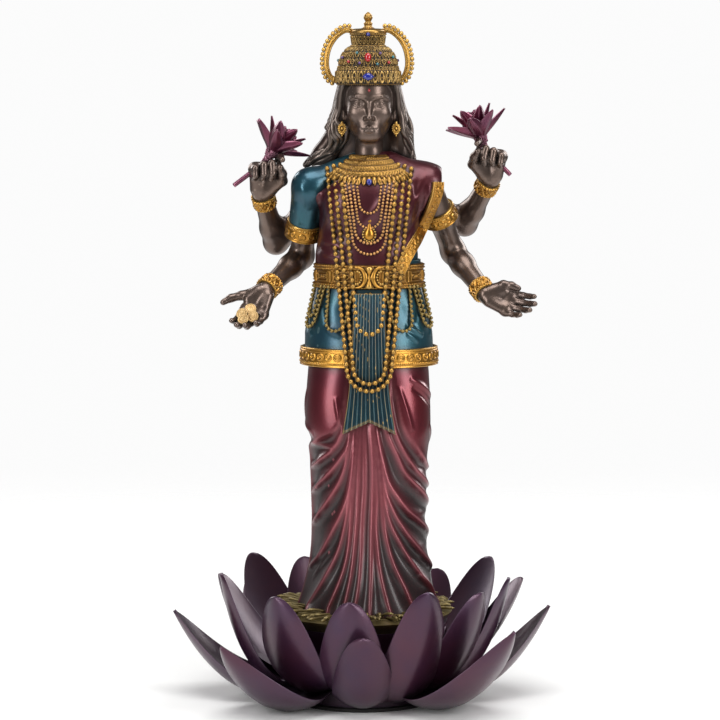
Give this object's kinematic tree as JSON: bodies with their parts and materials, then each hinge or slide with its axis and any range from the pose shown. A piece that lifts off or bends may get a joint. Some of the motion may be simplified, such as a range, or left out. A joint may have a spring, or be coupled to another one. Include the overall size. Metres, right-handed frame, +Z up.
{
  "type": "hindu deity statue",
  "caption": "Four-armed standing goddess figure in hand-painted cold-cast resin, with crown, bead strands and held lotus blooms, on an open lotus base.",
  "frame": {"origin": "centre of the felt pad's underside, on the surface that the statue stands on", "axes": "+Z up, the figure looks along -Y, +X is the figure's left"},
  "size_m": [0.1535, 0.1325, 0.275],
  "materials": {
    "felt": "black felt",
    "lotus_resin": "aubergine pearl paint over cold-cast resin",
    "stamen_paint": "olive-gold wash",
    "steel": "plain steel",
    "skirt_paint": "burgundy pearl paint, dark antique wash",
    "teal_paint": "teal pearl paint, dark antique wash",
    "stole_paint": "maroon pearl paint",
    "antique_gold": "antique gold paint with a dark wash in the hollows",
    "bronze_skin": "dark burnished bronze",
    "hair_paint": "dark pewter, dry-brushed silver",
    "bloom_paint": "magenta pearl paint",
    "coin_gold": "pale gold paint",
    "gem_enamel": "gloss red and blue enamel"
  },
  "bodies": {
    "root": {"felt_pad": "felt", "base_bowl": "lotus_resin", "outer_petals": "lotus_resin", "middle_petals": "lotus_resin", "inner_petals": "lotus_resin", "seed_dais": "stamen_paint", "stamens": "stamen_paint", "joining_rod": "steel", "skirt": "skirt_paint", "front_sash": "teal_paint", "tunic": "teal_paint", "tunic_hem_band": "antique_gold", "belt": "antique_gold", "belt_clasp": "antique_gold", "hip_swags": "antique_gold", "bodice": "teal_paint", "shoulder_stole": "stole_paint", "stole_border": "antique_gold", "right_sleeve": "teal_paint", "right_cuff": "antique_gold", "left_cuff": "antique_gold", "right_front_arm": "bronze_skin", "left_front_arm": "bronze_skin", "right_rear_arm": "bronze_skin", "left_rear_arm": "bronze_skin", "right_front_hand": "bronze_skin", "left_front_hand": "bronze_skin", "right_rear_hand": "bronze_skin", "left_rear_hand": "bronze_skin", "right_front_bangle": "antique_gold", "left_front_bangle": "antique_gold", "right_rear_bangle": "antique_gold", "left_rear_bangle": "antique_gold", "right_lotus_bloom": "bloom_paint", "left_lotus_bloom": "bloom_paint", "coins": "coin_gold", "head": "bronze_skin", "hair": "hair_paint", "crown_band": "antique_gold", "crown_cap": "antique_gold", "crown_loops": "antique_gold", "crown_finial": "antique_gold", "crown_gems": "gem_enamel", "earrings": "antique_gold", "choker": "antique_gold", "short_necklace": "antique_gold", "pendant": "antique_gold", "inner_bead_strand": "antique_gold", "middle_bead_strand": "antique_gold", "outer_bead_strand": "antique_gold"}
  },
  "joints": []
}
